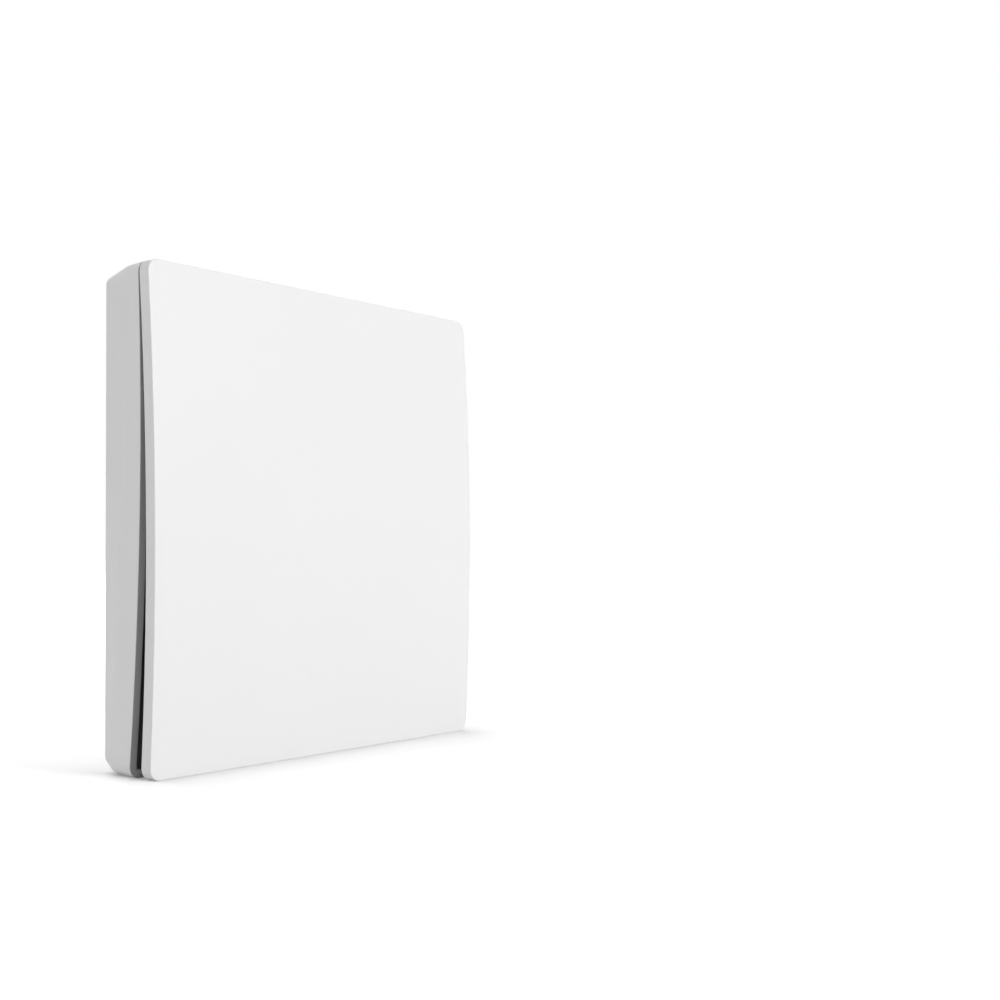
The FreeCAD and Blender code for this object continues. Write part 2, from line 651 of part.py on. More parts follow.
def rocker_panel():
    """Rocker plate: a crowned plate with a skirt, ribs, hinge hooks, snap claws
    and the rib that pushes the generator's lever."""
    body = new_body("rocker_panel")
    outer = "Sizes.panel_depth"
    add_block(body, "Skirt", "Sizes.skirt_depth", outer,
              [pane("Sizes.skirt_inset"), pane("Places.skirt_inner_inset")])
    half_rib = "Sizes.rib_wall / 2"
    inside = "(Places.half_width - Places.rib_end_inset)"
    for name, level in (("RibHigh", "Places.rib_high"), ("RibMiddle", "Places.rib_middle"),
                        ("RibLow", "Places.rib_low")):
        add_block(body, name, "Sizes.rib_depth", outer, [rectangle(
            "-" + inside, inside, "%s - %s" % (level, half_rib),
            "%s + %s" % (level, half_rib))])
    for sign in SIDES:
        add_block(body, "RibLong", "Sizes.rib_depth", outer, [on_side(
            sign, "Places.rib_x - " + half_rib, "Places.rib_x + " + half_rib,
            "Places.rib_end_inset - Places.half_height", "Places.rib_high")])
        add_block(body, "Hook", "Sizes.hinge_depth - Sizes.hook_back", outer, [on_side(
            sign, "Places.hook_inner_x", "Places.hook_outer_x",
            "Places.hinge_height - Sizes.hook_radius",
            "Places.half_height - Places.rib_end_inset")])
        upright_feature(body, "Claw", sign, [
            ("Places.claw_inner", "Sizes.claw_depth"),
            ("Places.claw_inner", outer),
            ("Places.claw_outer", outer),
            ("Places.claw_outer", "Sizes.claw_depth + Sizes.claw_nose_height"),
            ("Places.claw_tip", "Sizes.claw_depth + Sizes.claw_nose_height"),
            ("Places.claw_outer", "Sizes.claw_depth"),
        ])
    add_block(body, "SpringSeats", "Places.spring_front", outer, [
        on_side(sign, "Places.spring_inner_x - Sizes.spring_wire",
                "Places.spring_outer_x + Sizes.spring_wire",
                "Places.spring_seat - Sizes.spring_seat_height / 2",
                "Places.spring_seat + Sizes.spring_seat_height / 2") for sign in SIDES])
    add_block(body, "PushRib", "Places.push_depth", outer, [rectangle(
        "Sizes.armature_x - Sizes.push_width / 2", "Sizes.armature_x + Sizes.push_width / 2",
        "Places.push_height - Sizes.push_thickness / 2",
        "Places.push_height + Sizes.push_thickness / 2")])
    tip_depth = number("Places.push_depth")
    round_edges(body, "PushRibTip", "Sizes.push_thickness * 0.45", lambda edge:
                abs(edge.CenterOfMass.y + tip_depth) < 0.01 and edge.BoundBox.XLength > 4)
    low, high = "-Places.half_height", "Places.half_height"
    front_low, front_high = crowned_depth("panel", low), crowned_depth("panel", high)
    side_feature(body, "Pocket", "TrimUnderPlate", "Sizes.width + 2", [[
        ("-(%s - Sizes.panel_thickness / 2)" % front_low, low),
        ("-(%s - Sizes.panel_thickness / 2)" % front_high, high),
        ("-Sizes.panel_depth - 1", high),
        ("-Sizes.panel_depth - 1", low),
    ]], arcs={0: ("Places.panel_radius", -1)})
    side_feature(body, "Pad", "Plate", "Sizes.width", [[
        ("-" + front_low, low),
        ("-" + front_high, high),
        ("-(%s - Sizes.panel_thickness)" % front_high, high),
        ("-(%s - Sizes.panel_thickness)" % front_low, low),
    ]], arcs={0: ("Places.panel_radius", -1), 2: ("Places.panel_radius", 1)})
    side_feature(body, "Pocket", "HookBores", "Sizes.width", circles=[
        ("-Sizes.hinge_depth", "Places.hinge_height",
         "Sizes.hinge_pin_radius + Sizes.hinge_clearance")])
    side_feature(body, "Pocket", "HookMouths", "Sizes.width", [rectangle(
        "-Sizes.hinge_depth", "Sizes.hook_back * 2 - Sizes.hinge_depth",
        "Places.hinge_height - Sizes.hook_mouth / 2",
        "Places.hinge_height + Sizes.hook_mouth / 2")])
    round_edges(body, "PlateCorners", "Sizes.corner_radius",
                lambda edge: at_corner(edge, "0"))
    thickness = number("Sizes.panel_thickness")

    def on_rim(edge, front):
        """True for an edge round the front, or the back, of the plate."""
        if not near_outline(edge) or runs_into_wall(edge):
            return False
        centre = edge.CenterOfMass
        level = number(crowned_depth("panel", "%f" % centre.z)) - thickness / 2
        return (-centre.y > level) == front

    round_edges(body, "FrontRound", "Sizes.panel_front_round", lambda edge: on_rim(edge, True))
    round_edges(body, "BackRound", "Sizes.panel_back_round", lambda edge: on_rim(edge, False))
    return body


def wall_plate():
    """Plate that is screwed to the wall and that the housing clips over."""
    body = new_body("wall_plate")
    add_block(body, "Plate", "0", "Sizes.plate_thickness", [pane("Places.plate_inset")])
    round_edges(body, "PlateCorners", "Sizes.back_opening_corner", runs_into_wall)
    half_run = "(Sizes.slot_length - Sizes.slot_width) / 2"
    runs, ends = [], []
    for side in ("-Places.screw_x", "Places.screw_x"):
        near, far = "%s - %s" % (side, half_run), "%s + %s" % (side, half_run)
        runs.append(rectangle(near, far, "-Sizes.slot_width / 2", "Sizes.slot_width / 2"))
        ends += [(near, "0", "Sizes.slot_width / 2"), (far, "0", "Sizes.slot_width / 2")]
    cut_block(body, "SlotRuns", "-1", "Sizes.plate_thickness + 1", runs)
    cut_block(body, "SlotEnds", "-1", "Sizes.plate_thickness + 1", circles=ends)
    front = number("Sizes.plate_thickness")
    reach = number("Sizes.slot_length")
    screw_x = number("Places.screw_x")

    def on_slot_mouth(edge):
        """True for an edge round a slot, on the front face."""
        bounds, centre = edge.BoundBox, edge.CenterOfMass
        return (abs(bounds.YMin + front) < 0.01 and abs(bounds.YMax + front) < 0.01
                and abs(abs(centre.x) - screw_x) < reach and abs(centre.z) < reach)

    bevel_edges(body, "SlotCountersinks", "Sizes.slot_chamfer", on_slot_mouth)
    add_block(body, "Tabs", "Sizes.tab_back", "Sizes.tab_back + Sizes.tab_thickness", [
        on_side(sign, "Places.half_width - Places.plate_inset - Sizes.tab_proud",
                "Places.half_width - Places.plate_inset + Sizes.tab_proud",
                level + " - Sizes.tab_length / 2", level + " + Sizes.tab_length / 2")
        for sign in SIDES for level in ("Sizes.tab_height", "-Sizes.tab_height")])
    return body


def inner_cover():
    """Cover over the electronics, with countersunk screw holes and two board pins."""
    body = new_body("inner_cover")
    add_block(body, "Sheet", "Sizes.cover_back", "Sizes.cover_front",
              [pane("Places.cover_inset")])
    round_edges(body, "SheetCorners", "Sizes.back_opening_corner", runs_into_wall)
    cut_block(body, "ScrewHoles", "0", "Sizes.cover_front + 1",
              circles=[(x, z, "Sizes.cover_screw_hole") for x, z in screw_places()])
    back = number("Sizes.cover_back")
    girth = 8 * number("Sizes.cover_screw_hole")
    bevel_edges(body, "Countersinks", "Sizes.cover_screw_head_height", lambda edge:
                edge.BoundBox.YLength < 0.01 and abs(edge.CenterOfMass.y + back) < 0.01
                and edge.Length < girth)
    add_block(body, "BoardPins", "Sizes.cover_front - 0.5",
              "Places.board_front + Sizes.board_pin_proud",
              circles=[(x, "Places.board_pin_height", "Sizes.board_pin_radius")
                       for x in ("-Places.board_pin_x", "Places.board_pin_x")])
    return body


def cover_gasket():
    """Silicone ring pressed between the housing and the inner cover."""
    body = new_body("cover_gasket")
    add_block(body, "Ring", "Sizes.cover_front", "Sizes.cover_front + Sizes.gasket_depth",
              [pane("Sizes.gasket_inset"), pane("Places.gasket_inner_inset")])
    return body


def placed(solid, across, depth, up, turn=None):
    """Bind the place of a primitive, with a turn where its axis isn't upright."""
    if turn:
        solid.Placement = FreeCAD.Placement(Vector(), FreeCAD.Rotation(*turn))
    solid.setExpression("Placement.Base.x", across)
    solid.setExpression("Placement.Base.y", "-(%s)" % depth)
    solid.setExpression("Placement.Base.z", up)
    return solid


TOWARDS_ROOM = (Vector(1, 0, 0), 90)
TOWARDS_RIGHT = (Vector(0, 1, 0), 90)
TOWARDS_FLOOR = (Vector(1, 0, 0), 180)


def cylinder(name, radius, length):
    """Cylinder with bound radius and length."""
    solid = doc.addObject("Part::Cylinder", name)
    solid.setExpression("Radius", radius)
    solid.setExpression("Height", length)
    return solid


def box(name, left, right, back, front, low, high):
    """Box with all six sides bound."""
    solid = doc.addObject("Part::Box", name)
    solid.setExpression("Length", "(%s) - (%s)" % (right, left))
    solid.setExpression("Width", "(%s) - (%s)" % (front, back))
    solid.setExpression("Height", "(%s) - (%s)" % (high, low))
    return placed(solid, left, front, low)


def group(label, members):
    """Like pieces kept together in one sub-part."""
    compound = doc.addObject("Part::Compound", label)
    compound.Links = members
    compound.Label = label
    return compound


def cover_screws():
    """Countersunk cross-head screws that hold the inner cover."""
    screws = []
    for x, z in screw_places():
        head = doc.addObject("Part::Cone", "ScrewHead")
        head.setExpression("Radius1", "Sizes.cover_screw_head")
        head.setExpression("Radius2", "Sizes.cover_screw_hole")
        head.setExpression("Height", "Sizes.cover_screw_head_height")
        placed(head, x, "Sizes.cover_back", z, TOWARDS_ROOM)
        shank = cylinder("ScrewShank", "Sizes.cover_screw_radius",
                         "Sizes.cover_screw_tip - Sizes.cover_back")
        placed(shank, x, "Sizes.cover_back", z, TOWARDS_ROOM)
        screw = doc.addObject("Part::Fuse", "ScrewBlank")
        screw.Base, screw.Tool = head, shank
        long, short = "Sizes.cover_screw_head * 0.6", "Sizes.cover_screw_slot / 2"
        slots = []
        for across, up in ((long, short), (short, long)):
            slots.append(box("ScrewSlot", "%s - %s" % (x, across), "%s + %s" % (x, across),
                             "Sizes.cover_back - 0.5",
                             "Sizes.cover_back + Sizes.cover_screw_head_height * 0.7",
                             "%s - %s" % (z, up), "%s + %s" % (z, up)))
        cross = doc.addObject("Part::MultiFuse", "ScrewCross")
        cross.Shapes = slots
        finished = doc.addObject("Part::Cut", "Screw")
        finished.Base, finished.Tool = screw, cross
        screws.append(finished)
    return group("cover_screws", screws)


def hinge_pins():
    """Two steel pins pressed through the hinge lugs."""
    pins = []
    for side, label in (("Places.lug_inner_x", "hinge_pin_right"),
                        ("-Places.lug_outer_x - Sizes.lug_thickness", "hinge_pin_left")):
        pin = cylinder(label, "Sizes.hinge_pin_radius",
                       "Places.lug_outer_x + Sizes.lug_thickness - Places.lug_inner_x")
        placed(pin, side, "Sizes.hinge_depth", "Places.hinge_height", TOWARDS_RIGHT)
        pin.Label = label
        pins.append(pin)
    return pins


def bump_stops():
    """Soft discs on the floor of the recess that quiet the end of the press."""
    discs = []
    for x in ("-Sizes.stop_x", "Sizes.stop_x"):
        disc = cylinder("StopDisc", "Sizes.stop_radius", "Places.stop_front - Sizes.floor_front")
        discs.append(placed(disc, x, "Sizes.floor_front", "Places.stop_height", TOWARDS_ROOM))
    return group("bump_stops", discs)


def return_springs():
    """Torsion springs wound round the hinge pins, each with a leg under the rocker
    plate and a leg over the floor of the recess."""
    springs = []
    wire = "Sizes.spring_wire / 2"
    for label, start in (("return_spring_right", "Places.spring_outer_x"),
                         ("return_spring_left", "-Places.spring_inner_x")):
        line = doc.addObject("Part::Helix", "SpringLine")
        line.setExpression("Pitch", "Sizes.spring_pitch")
        line.setExpression("Height", "Places.spring_run")
        line.setExpression("Radius", "Sizes.spring_radius")
        line.Placement = FreeCAD.Placement(Vector(), FreeCAD.Rotation(
            Vector(0, -1, 0), Vector(0, 0, 1), Vector(-1, 0, 0), "XYZ"))
        placed(line, start, "Sizes.hinge_depth", "Places.hinge_height")
        ring = doc.addObject("Part::Circle", "SpringSection")
        ring.setExpression("Radius", wire)
        placed(ring, start, "Sizes.hinge_depth + Sizes.spring_radius", "Places.hinge_height")
        coil = doc.addObject("Part::Sweep", "SpringCoil")
        coil.Sections = [ring]
        coil.Spine = (line, ["Edge1"])
        coil.Solid = True
        coil.Frenet = True
        pieces = [coil]
        for across, depth, length in (
                (start, "Sizes.hinge_depth + Sizes.spring_radius", "Sizes.spring_front_leg"),
                (start + " - Places.spring_run", "Sizes.hinge_depth - Sizes.spring_radius",
                 "Sizes.spring_back_leg")):
            leg = cylinder("SpringLeg", wire, length)
            pieces.append(placed(leg, across, depth, "Places.hinge_height", TOWARDS_FLOOR))
            bend = doc.addObject("Part::Sphere", "SpringBend")
            bend.setExpression("Radius", wire + " * 1.03")
            pieces.append(placed(bend, across, depth, "Places.hinge_height"))
        spring = doc.addObject("Part::MultiFuse", label)
        spring.Shapes = pieces
        spring.Label = label
        springs.append(spring)
    return springs


def armature_piece(body):
    """Place a piece of the rocking armature on its axis, tipped to its rest stop."""
    body.Placement = FreeCAD.Placement(Vector(), FreeCAD.Rotation(Vector(1, 0, 0), -1))
    body.setExpression("Placement.Base.x", "Sizes.armature_x")
    body.setExpression("Placement.Base.y", "-Sizes.axis_depth")
    body.setExpression("Placement.Base.z", "Sizes.axis_height")
    body.setExpression("Placement.Rotation.Angle", "-Places.rock_half")
    return body


def magnet():
    """Block magnet at the heart of the armature."""
    body = new_body("magnet")
    add_block(body, "Block", "-Places.pole_back", "Places.pole_back", [rectangle(
        "-Sizes.magnet_width / 2", "Sizes.magnet_width / 2",
        "-Sizes.magnet_height / 2", "Sizes.magnet_height / 2")])
    return armature_piece(body)


def pole_plates():
    """Iron plates on both faces of the magnet, whose ends close on the core."""
    plates = []
    for label, back, front in (
            ("front_pole_plate", "Places.pole_back", "Places.bridge_back"),
            ("rear_pole_plate", "-Places.bridge_back", "-Places.pole_back")):
        body = new_body(label)
        add_block(body, "Plate", back, front, [rectangle(
            "-Sizes.magnet_width / 2", "Sizes.magnet_width / 2",
            "-Sizes.pole_length / 2", "Sizes.pole_length / 2")])
        plates.append(armature_piece(body))
    return plates


def magnet_carrier():
    """Moulded carrier round the magnet, with the two trunnions that it rocks on."""
    body = new_body("magnet_carrier")
    level = "Sizes.carrier_height / 2"
    for sign in ("", "-"):
        edges = [sign + "Sizes.magnet_width / 2", sign + "Places.carrier_half_width"]
        if sign:
            edges.reverse()
        add_block(body, "SideWall", "-Places.bridge_back", "Places.lever_back",
                  [rectangle(edges[0], edges[1], "-" + level, level)])
        if not sign:
            add_block(body, "Bridge", "Places.bridge_back", "Places.lever_back", [rectangle(
                "-Places.carrier_half_width", "Places.carrier_half_width",
                "-" + level, level)])
    for sign in ("", "-"):
        centre = sign + "(Places.carrier_half_width + Sizes.trunnion_length / 2 - 0.2)"
        side_feature(body, "Pad", "Trunnion", "Sizes.trunnion_length + 0.4",
                     circles=[("0", "0", "Sizes.trunnion_radius")], centre=centre)
    return armature_piece(body)


def lever_leaf():
    """Spring-steel leaf that the rocker pushes to snap the armature over."""
    body = new_body("lever_leaf")
    add_block(body, "Leaf", "Places.lever_back", "Places.lever_front", [rectangle(
        "-Sizes.lever_width / 2", "Sizes.lever_width / 2",
        "-Sizes.lever_end", "Sizes.lever_top")])
    end = number("Sizes.lever_end")
    round_edges(body, "LeafTip", "Sizes.lever_width * 0.3", lambda edge:
                runs_into_wall(edge) and abs(edge.CenterOfMass.z + end) < 0.01)
    return armature_piece(body)


def core():
    """Flat U-shaped core of soft iron; its two legs end between the pole plates."""
    body = new_body("core")
    inner_left = "Sizes.core_left + Sizes.core_leg"
    low = ("Sizes.axis_height - Places.leg_far", "Sizes.axis_height - Places.leg_near")
    high = ("Sizes.axis_height + Places.leg_near", "Sizes.axis_height + Places.leg_far")
    add_block(body, "Sheet", "Sizes.axis_depth - Sizes.core_thickness / 2",
              "Sizes.axis_depth + Sizes.core_thickness / 2", [[
                  ("Sizes.core_left", low[0]),
                  ("Sizes.core_right", low[0]),
                  ("Sizes.core_right", low[1]),
                  (inner_left, low[1]),
                  (inner_left, high[0]),
                  ("Sizes.core_right", high[0]),
                  ("Sizes.core_right", high[1]),
                  ("Sizes.core_left", high[1]),
              ]])
    return body


def tube_about_leg(body, name, left, right, half_depth, half_height):
    """Block along the lower leg of the core."""
    return side_feature(body, "Pad", name, "(%s) - (%s)" % (right, left), [rectangle(
        "-Sizes.axis_depth - (%s)" % half_depth, "-Sizes.axis_depth + (%s)" % half_depth,
        "Places.leg_height - (%s)" % half_height, "Places.leg_height + (%s)" % half_height)],
        centre="((%s) + (%s)) / 2" % (left, right))


def coil_bobbin():
    """Bobbin on the lower leg of the core."""
    body = new_body("coil_bobbin")
    left, right = "Sizes.bobbin_left", "Sizes.bobbin_right"
    hub_depth = "Sizes.core_thickness / 2 + Sizes.core_clearance + Sizes.hub_wall"
    hub_height = "Sizes.core_leg / 2 + Sizes.core_clearance + Sizes.hub_wall"
    tube_about_leg(body, "Hub", left, right, hub_depth, hub_height)
    for start, finish in ((left, left + " + Sizes.flange_thickness"),
                          (right + " - Sizes.flange_thickness", right)):
        tube_about_leg(body, "Flange", start, finish, "Sizes.flange_half_depth",
                       "Sizes.flange_half_height")
    side_feature(body, "Pocket", "CoreHole", "200", [rectangle(
        "-Sizes.axis_depth - Sizes.core_thickness / 2 - Sizes.core_clearance",
        "-Sizes.axis_depth + Sizes.core_thickness / 2 + Sizes.core_clearance",
        "Places.leg_height - Sizes.core_leg / 2 - Sizes.core_clearance",
        "Places.leg_height + Sizes.core_leg / 2 + Sizes.core_clearance")])
    return body


def coil_winding():
    """Copper winding between the flanges of the bobbin."""
    body = new_body("coil_winding")
    left = "Sizes.bobbin_left + Sizes.flange_thickness"
    right = "Sizes.bobbin_right - Sizes.flange_thickness"
    tube_about_leg(body, "Turns", left, right, "Sizes.winding_half_depth",
                   "Sizes.winding_half_height")
    round_edges(body, "TurnCorners", "Sizes.winding_round",
                lambda edge: edge.BoundBox.XLength > 2)
    side_feature(body, "Pocket", "HubHole", "200", [rectangle(
        "-Sizes.axis_depth - Sizes.core_thickness / 2 - Sizes.core_clearance - Sizes.hub_wall",
        "-Sizes.axis_depth + Sizes.core_thickness / 2 + Sizes.core_clearance + Sizes.hub_wall",
        "Places.leg_height - Sizes.core_leg / 2 - Sizes.core_clearance - Sizes.hub_wall",
        "Places.leg_height + Sizes.core_leg / 2 + Sizes.core_clearance + Sizes.hub_wall")])
    return body


def coil_leads():
    """Two wires from the flanges of the bobbin down to the circuit board."""
    wires = []
    top = "Places.leg_height - Sizes.flange_half_height"
    for x in ("Sizes.bobbin_left + Sizes.flange_thickness / 2",
              "Sizes.bobbin_right - Sizes.flange_thickness / 2"):
        wire = cylinder("Lead", "Sizes.lead_radius",
                        top + " - Places.board_high + Sizes.lead_on_board")
        wires.append(placed(wire, x, "Places.board_front + Sizes.lead_radius", top,
                            TOWARDS_FLOOR))
    return group("coil_leads", wires)


def generator_frame():
    """Moulded frame that carries the core and the bearings of the armature."""
    body = new_body("generator_frame")
    axis, clear = "Sizes.axis_height", "Sizes.frame_clearance"
    carrier_left = "Sizes.armature_x - Places.carrier_half_width"
    carrier_right = "Sizes.armature_x + Places.carrier_half_width"
    add_block(body, "Base", "Sizes.cover_front", "Places.frame_front", [
        rectangle("Sizes.island_left + Places.frame_inset",
                  "Sizes.island_right - Places.frame_inset",
                  "Sizes.island_low + Places.frame_inset",
                  "Sizes.island_high - Places.frame_inset"),
        rectangle("Sizes.bobbin_left - " + clear, "Sizes.bobbin_right + " + clear,
                  "Places.leg_height - Sizes.flange_half_height - " + clear,
                  "Places.leg_height + Sizes.flange_half_height + " + clear),
        rectangle(carrier_left + " - " + clear, carrier_right + " + " + clear,
                  axis + " - Sizes.pole_length / 2 - 1",
                  axis + " + Sizes.pole_length / 2 + 1"),
    ])
    bearings = []
    for outer in (carrier_left + " - Sizes.bearing_gap - Sizes.bearing_thickness",
                  carrier_right + " + Sizes.bearing_gap"):
        bearings.append(rectangle(outer, outer + " + Sizes.bearing_thickness",
                                  axis + " - Sizes.bearing_half_height",
                                  axis + " + Sizes.bearing_half_height"))
    add_block(body, "Bearings", "Sizes.cover_front", "Sizes.bearing_front", bearings)
    side_feature(body, "Pocket", "BearingBores", "Sizes.width",
                 circles=[("-Sizes.axis_depth", axis,
                           "Sizes.trunnion_radius + Sizes.trunnion_clearance")])
    add_block(body, "CoreSeats", "Sizes.cover_front",
              "Sizes.axis_depth - Sizes.core_thickness / 2", [
                  rectangle("Sizes.core_left", "Sizes.core_left + Sizes.core_leg * 0.8",
                            axis + " - Places.leg_far", axis + " + Places.leg_far"),
                  rectangle("Sizes.core_left / 2", "Sizes.core_left / 2 + Sizes.core_leg",
                            axis + " + Places.leg_near", axis + " + Places.leg_far"),
              ])
    return body


def circuit_board():
    """Circuit board held by the pins of the inner cover."""
    body = new_body("circuit_board")
    add_block(body, "Board", "Sizes.cover_front", "Places.board_front", [rectangle(
        "-Places.board_half_width", "Places.board_half_width",
        "Places.board_low", "Places.board_high")],
        [(x, "Places.board_pin_height", "Sizes.board_pin_radius + Sizes.board_pin_clearance")
         for x in ("-Places.board_pin_x", "Places.board_pin_x")])
    return body


def chip(label, across, kind, height="height"):
    """Flat package on the middle line of the board, at a place across it."""
    half_width = "Sizes.%s_width / 2" % kind
    half_height = "Sizes.%s_%s / 2" % (kind, height)
    part = box(label, "%s - %s" % (across, half_width), "%s + %s" % (across, half_width),
               "Places.board_front", "Places.board_front + Sizes.%s_thickness" % kind,
               "Places.board_middle - " + half_height, "Places.board_middle + " + half_height)
    part.Label = label
    return part


def board_parts():
    """Chips and other small parts soldered to the board."""
    def place(kind):
        """Distance across the board of a kind of part."""
        return "Places.board_half_width * Sizes.%s_place" % kind

    stores = [chip("Store", place("store"), "store"),
              chip("Store", place("store") + " + Sizes.store_pitch", "store")]
    return [
        chip("radio_chip", place("radio"), "radio", "width"),
        chip("crystal", place("crystal"), "crystal"),
        chip("bridge_rectifier", place("bridge"), "bridge"),
        chip("voltage_regulator", "0", "regulator"),
        group("storage_capacitors", stores),
    ]


def antenna_wire():
    """Stiff wire aerial, bent in a long loop up the right side from the board."""
    depth = "Places.board_front + Sizes.antenna_radius"
    path = doc.addObject("Sketcher::SketchObject", "AntennaPath")
    path.Placement = FreeCAD.Placement(Vector(), FreeCAD.Rotation(Vector(1, 0, 0), 90))
    path.setExpression("Placement.Base.y", "-(%s)" % depth)
    far = "Places.antenna_x + Sizes.antenna_width"
    corners = [("Places.antenna_x", "Places.board_high - Sizes.antenna_on_board"),
               ("Places.antenna_x", "Places.antenna_high"),
               (far, "Places.antenna_high"),
               (far, "Places.board_high + Sizes.antenna_end_gap")]
    points = [Vector(number(x), number(z), 0) for x, z in corners]
    for run in range(3):
        path.addGeometry(Part.LineSegment(points[run], points[run + 1]), False)
        for end in (0, 1):
            across, up = corners[run + end]
            bind_distance(path, "DistanceX", run, end + 1, across)
            bind_distance(path, "DistanceY", run, end + 1, up)
    ring = doc.addObject("Part::Circle", "AntennaSection")
    ring.setExpression("Radius", "Sizes.antenna_radius")
    placed(ring, corners[0][0], depth, corners[0][1])
    wire = doc.addObject("Part::Sweep", "antenna_wire")
    wire.Sections = [ring]
    wire.Spine = (path, ["Edge1", "Edge2", "Edge3"])
    wire.Solid = True
    wire.Transition = "Round corner"
    wire.Label = "antenna_wire"
    return wire


sub_parts = [housing(), rocker_panel(), wall_plate(), inner_cover(), cover_gasket(),
             cover_screws(), bump_stops(), magnet(), magnet_carrier(), lever_leaf(), core(),
             coil_bobbin(), coil_winding(), coil_leads(), generator_frame(), circuit_board(),
             antenna_wire()]
sub_parts += hinge_pins() + return_springs() + pole_plates() + board_parts()

doc.recompute()
for item in doc.Objects:
    if "Invalid" in item.State or "Error" in item.State:
        raise RuntimeError("%s did not rebuild: %s" % (item.Label, item.State))
os.makedirs("parts", exist_ok=True)
for part in sub_parts:
    if part.Shape.isNull() or not part.Shape.isValid():
        raise RuntimeError("%s has no valid shape" % part.Label)
for part in sub_parts:
    part.Shape.exportStep("parts/%s.step" % part.Label)
    print("%-20s %d solid %9.1f mm3" % (part.Label, len(part.Shape.Solids), part.Shape.Volume))
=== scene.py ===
import bpy
from mathutils import Matrix, Vector


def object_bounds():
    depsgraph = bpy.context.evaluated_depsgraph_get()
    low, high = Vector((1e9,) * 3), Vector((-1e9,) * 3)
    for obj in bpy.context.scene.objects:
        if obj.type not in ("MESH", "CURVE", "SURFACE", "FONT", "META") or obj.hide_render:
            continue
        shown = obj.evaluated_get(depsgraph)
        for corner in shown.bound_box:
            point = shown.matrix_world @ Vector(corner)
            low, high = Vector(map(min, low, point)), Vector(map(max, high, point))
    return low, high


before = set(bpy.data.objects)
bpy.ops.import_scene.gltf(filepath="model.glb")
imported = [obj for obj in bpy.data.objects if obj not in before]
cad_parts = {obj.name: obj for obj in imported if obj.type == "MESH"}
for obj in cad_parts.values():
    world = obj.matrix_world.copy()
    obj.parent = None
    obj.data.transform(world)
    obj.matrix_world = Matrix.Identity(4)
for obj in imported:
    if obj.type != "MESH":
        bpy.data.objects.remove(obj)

size_at_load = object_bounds()


# Camera. It stands in front and to the left of the switch, low down, at the height
# of the middle of the rocker. The frame's centre is lowered a little by the shift.
camera_data = bpy.data.cameras.new("studio_camera")
camera_data.sensor_width = 36
camera_data.lens = 52.934
camera_data.shift_y = 0.03568
camera_data.clip_start = 0.01
camera = bpy.data.objects.new("studio_camera", camera_data)
bpy.context.scene.collection.objects.link(camera)
look = Vector((0.813699, 0.581223, 0.008723)).normalized()
lift = Vector((-0.007183, -0.004953, 0.999957)).normalized()
side = look.cross(lift).normalized()
lift = side.cross(look)
stand = Matrix((side, lift, -look)).transposed().to_4x4()
stand.translation = Vector((-0.205326, -0.200041, -0.004792))
camera.matrix_world = stand
bpy.context.scene.camera = camera


# Studio. A dim white room, a broad soft lamp ahead of the rocker, and weaker ones at the
# left for the side of the housing, above for its upper edges and behind for its back.
# The floor of white paper is at the switch's lower edge and fades into the backdrop.
ROOM_LIGHT = 0.1     # the room's light on the switch, where the backdrop seen is 1
SHEEN_SHARE = 0.45   # the share of the backdrop and of the paper's lift in reflections


def add_node(tree, kind, sockets=None, **settings):
    """Add a node with its own settings. Each socket is given a value, or the output that
    is linked to it, or a node, whose first output is linked."""
    node = tree.nodes.new("ShaderNode" + kind)
    for name, value in settings.items():
        setattr(node, name, value)
    for name, value in (sockets or {}).items():
        if isinstance(value, bpy.types.Node):
            value = value.outputs[0]
        if isinstance(value, bpy.types.NodeSocket):
            tree.links.new(value, node.inputs[name])
        else:
            node.inputs[name].default_value = value
    return node


def linear(hex_colour):
    """Scene-linear colour of an sRGB hex value."""
    channels = [int(hex_colour[k:k + 2], 16) / 255 for k in (0, 2, 4)]
    return [c / 12.92 if c <= 0.04045 else ((c + 0.055) / 1.055) ** 2.4
            for c in channels] + [1.0]


def background_share(tree):
    """One for what the camera sees itself or through glass, and less in reflections."""
    rays = add_node(tree, "LightPath").outputs
    direct = add_node(tree, "Math", {0: rays["Is Camera Ray"],
                                     1: rays["Is Transmission Ray"]}, operation="ADD")
    return add_node(tree, "Math", {0: rays["Is Glossy Ray"], 1: SHEEN_SHARE, 2: direct},
                    operation="MULTIPLY_ADD")


world = bpy.data.worlds.new("studio_world")
bpy.context.scene.world = world
bpy.context.scene.view_settings.view_transform = "Standard"
world.use_nodes = True
tree = world.node_tree
tree.nodes.clear()
room = add_node(tree, "Background", {"Color": linear("ffffff"), "Strength": ROOM_LIGHT})
backdrop = add_node(tree, "Background", {"Color": linear("ffffff"), "Strength": 1.0})
surround = add_node(tree, "MixShader", {0: background_share(tree), 1: room, 2: backdrop})
add_node(tree, "OutputWorld", {"Surface": surround})

# Each lamp's name, place and width in metres, power in watts, and whether reflections
# show it: the last two would draw a hard bright line along the edges of the switch.
for name, where, wide, power, reflected in (
        ("front_softbox", (0.5, -1.55, 0.4), 1.1, 22.7, True),
        ("side_softbox", (-1.25, 0.22, 0.12), 0.7, 5.72, True),
        ("top_softbox", (-0.3, 0.25, 1.5), 1.0, 7.5, False),
        ("rear_softbox", (0.9, 1.4, 0.8), 1.0, 12, False)):
    lamp_data = bpy.data.lights.new(name, "AREA")
    lamp_data.size = wide
    lamp_data.energy = power
    lamp = bpy.data.objects.new(name, lamp_data)
    bpy.context.scene.collection.objects.link(lamp)
    lamp.location = where
    lamp.rotation_euler = (-Vector(where)).to_track_quat("-Z", "Y").to_euler()
    lamp.visible_glossy = reflected

